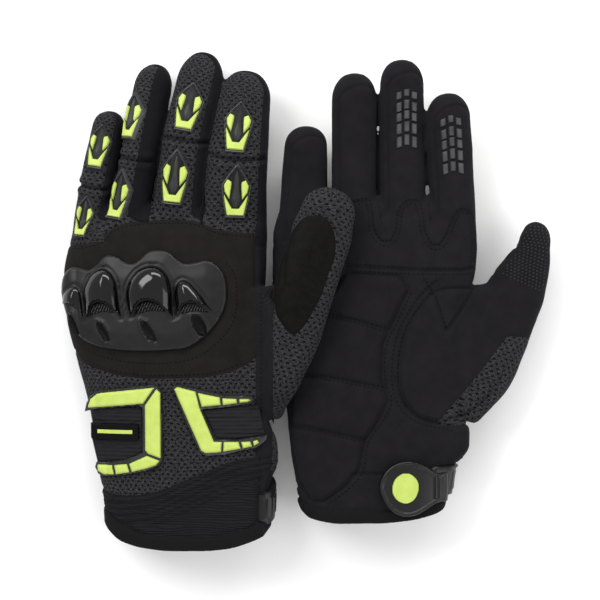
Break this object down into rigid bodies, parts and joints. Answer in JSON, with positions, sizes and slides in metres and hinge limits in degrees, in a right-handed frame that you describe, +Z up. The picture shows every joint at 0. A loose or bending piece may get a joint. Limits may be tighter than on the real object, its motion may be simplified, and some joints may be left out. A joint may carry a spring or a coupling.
{
  "type": "riding gloves",
  "caption": "Pair of short summer riding gloves with hard knuckle guard, finger and cuff guards, suede palm and hook-and-loop wrist strap.",
  "frame": {"origin": "centre of the pair's footprint, on the surface the pair lies on", "axes": "+Y towards the fingertips, +X to the right across the pair, +Z up; the left glove lies palm down, the right glove palm up"},
  "size_m": [0.2388, 0.2422, 0.0504],
  "materials": {
    "air_mesh": "open warp-knit spacer mesh, matt black",
    "suede": "fine brushed microsuede, matt",
    "elastic": "ribbed woven elastic",
    "binding": "smooth folded binding",
    "guard_rubber": "satin moulded thermoplastic rubber",
    "knuckle_guard": "matt moulded plate with gloss domes",
    "lime_rubber": "satin lime rubber"
  },
  "bodies": {
    "left_hand": {"left_hand_back": "air_mesh", "left_hand_palm": "suede", "left_thumb_gusset": "suede", "left_knuckle_guard": "knuckle_guard", "left_cuff_guard_outer": "lime_rubber", "left_cuff_guard_inner": "lime_rubber", "left_cuff_band": "elastic", "left_cuff_hem": "binding", "left_strap_anchor": "elastic", "left_hook_patch": "elastic", "left_palm_pad": "suede"},
    "left_little_lower": {"left_little_base": "air_mesh", "left_little_base_guard": "guard_rubber"},
    "left_little_upper": {"left_little_tip": "air_mesh", "left_little_tip_guard": "guard_rubber"},
    "left_ring_lower": {"left_ring_base": "air_mesh", "left_ring_base_guard": "guard_rubber"},
    "left_ring_upper": {"left_ring_tip": "air_mesh", "left_ring_tip_guard": "guard_rubber"},
    "left_middle_lower": {"left_middle_base": "air_mesh", "left_middle_base_guard": "guard_rubber"},
    "left_middle_upper": {"left_middle_tip": "air_mesh", "left_middle_tip_guard": "guard_rubber"},
    "left_index_lower": {"left_index_base": "air_mesh", "left_index_base_guard": "guard_rubber"},
    "left_index_upper": {"left_index_tip": "air_mesh", "left_index_tip_guard": "guard_rubber"},
    "left_thumb_lower": {"left_thumb_base": "suede"},
    "left_thumb_upper": {"left_thumb_tip": "suede"},
    "left_strap": {"left_strap_tab": "guard_rubber"},
    "right_hand": {"right_hand_back": "air_mesh", "right_hand_palm": "suede", "right_thumb_gusset": "suede", "right_knuckle_guard": "knuckle_guard", "right_cuff_guard_outer": "lime_rubber", "right_cuff_guard_inner": "lime_rubber", "right_cuff_band": "elastic", "right_cuff_hem": "binding", "right_strap_anchor": "elastic", "right_hook_patch": "elastic", "right_palm_pad": "suede", "right_little_base": "air_mesh", "right_little_base_guard": "guard_rubber", "right_ring_base": "air_mesh", "right_ring_base_guard": "guard_rubber"},
    "right_little_upper": {"right_little_tip": "air_mesh", "right_little_tip_guard": "guard_rubber"},
    "right_ring_upper": {"right_ring_tip": "air_mesh", "right_ring_tip_guard": "guard_rubber"},
    "right_middle_lower": {"right_middle_base": "air_mesh", "right_middle_base_guard": "guard_rubber"},
    "right_middle_upper": {"right_middle_tip": "air_mesh", "right_middle_tip_guard": "guard_rubber"},
    "right_index_lower": {"right_index_base": "air_mesh", "right_index_base_guard": "guard_rubber"},
    "right_index_upper": {"right_index_tip": "air_mesh", "right_index_tip_guard": "guard_rubber"},
    "right_thumb_lower": {"right_thumb_base": "suede"},
    "right_thumb_upper": {"right_thumb_tip": "suede"},
    "right_strap": {"right_strap_tab": "guard_rubber"}
  },
  "joints": [
    {"name": "left_little_knuckle", "type": "hinge", "parent": "left_hand", "child": "left_little_lower", "pos_m": [-0.10681, 0.0342, 0.00106], "axis": [-0.9812, 0.1929, 0], "range_deg": [0, 70]},
    {"name": "left_little_bend", "type": "hinge", "parent": "left_little_lower", "child": "left_little_upper", "pos_m": [-0.10325, 0.05434, 0.00238], "axis": [-0.9838, 0.1795, 0], "range_deg": [0, 75]},
    {"name": "left_ring_knuckle", "type": "hinge", "parent": "left_hand", "child": "left_ring_lower", "pos_m": [-0.08776, 0.03583, 0.00455], "axis": [-0.9802, 0.1979, 0], "range_deg": [0, 70]},
    {"name": "left_ring_bend", "type": "hinge", "parent": "left_ring_lower", "child": "left_ring_upper", "pos_m": [-0.08203, 0.06738, 0.00722], "axis": [-0.9838, 0.179, 0], "range_deg": [0, 85]},
    {"name": "left_middle_knuckle", "type": "hinge", "parent": "left_hand", "child": "left_middle_lower", "pos_m": [-0.06331, 0.03592, 0.0078], "axis": [-0.9929, 0.1189, 0], "range_deg": [0, 70]},
    {"name": "left_middle_bend", "type": "hinge", "parent": "left_middle_lower", "child": "left_middle_upper", "pos_m": [-0.05855, 0.07564, 0.01069], "axis": [-0.9871, 0.1603, 0], "range_deg": [0, 85]},
    {"name": "left_index_knuckle", "type": "hinge", "parent": "left_hand", "child": "left_index_lower", "pos_m": [-0.03387, 0.03468, 0.01122], "axis": [-0.9989, 0.0468, 0], "range_deg": [0, 70]},
    {"name": "left_index_bend", "type": "hinge", "parent": "left_index_lower", "child": "left_index_upper", "pos_m": [-0.03234, 0.06651, 0.01398], "axis": [-0.9975, 0.0712, 0], "range_deg": [0, 85]},
    {"name": "left_thumb_lift", "type": "hinge", "parent": "left_hand", "child": "left_thumb_lower", "pos_m": [-0.01219, -0.03977, 0.04303], "axis": [0.9599, -0.2803, 0], "range_deg": [0, 25]},
    {"name": "left_thumb_bend", "type": "hinge", "parent": "left_thumb_lower", "child": "left_thumb_upper", "pos_m": [-0.01044, 0.02224, 0.04123], "axis": [0, 0, 1], "range_deg": [0, 40]},
    {"name": "left_strap_open", "type": "hinge", "parent": "left_hand", "child": "left_strap", "pos_m": [-0.03217, -0.09259, 0.00692], "axis": [0, -1, 0], "range_deg": [0, 110]},
    {"name": "right_little_bend", "type": "hinge", "parent": "right_hand", "child": "right_little_upper", "pos_m": [-0.00101, 0.05455, 0.02615], "axis": [0.999, -0.0441, 0], "range_deg": [0, 75]},
    {"name": "right_ring_bend", "type": "hinge", "parent": "right_hand", "child": "right_ring_upper", "pos_m": [0.02358, 0.07143, 0.02783], "axis": [1, 0.0043, 0], "range_deg": [0, 85]},
    {"name": "right_middle_knuckle", "type": "hinge", "parent": "right_hand", "child": "right_middle_lower", "pos_m": [0.04719, 0.03346, 0.03123], "axis": [1, 0.0049, 0], "range_deg": [0, 70]},
    {"name": "right_middle_bend", "type": "hinge", "parent": "right_middle_lower", "child": "right_middle_upper", "pos_m": [0.04699, 0.07398, 0.02941], "axis": [1, 0.0095, 0], "range_deg": [0, 85]},
    {"name": "right_index_knuckle", "type": "hinge", "parent": "right_hand", "child": "right_index_lower", "pos_m": [0.07158, 0.03381, 0.03274], "axis": [0.9994, 0.0349, 0], "range_deg": [0, 70]},
    {"name": "right_index_bend", "type": "hinge", "parent": "right_index_lower", "child": "right_index_upper", "pos_m": [0.07044, 0.06406, 0.03124], "axis": [0.9985, 0.0552, 0], "range_deg": [0, 85]},
    {"name": "right_thumb_lift", "type": "hinge", "parent": "right_hand", "child": "right_thumb_lower", "pos_m": [0.08585, -0.03828, 0.02896], "axis": [0.9542, -0.2992, 0], "range_deg": [0, 45]},
    {"name": "right_thumb_bend", "type": "hinge", "parent": "right_thumb_lower", "child": "right_thumb_upper", "pos_m": [0.09969, 0.00474, 0.02737], "axis": [0.9241, -0.3821, 0], "range_deg": [0, 60]},
    {"name": "right_strap_open", "type": "hinge", "parent": "right_hand", "child": "right_strap", "pos_m": [0.05657, -0.08759, 0.03783], "axis": [0, 1, 0], "range_deg": [0, 150]},
    {"name": "right_glove_apart", "type": "slide", "parent": "left_hand", "child": "right_hand", "axis": [1, 0, 0], "range_m": [0, 0.06]}
  ]
}
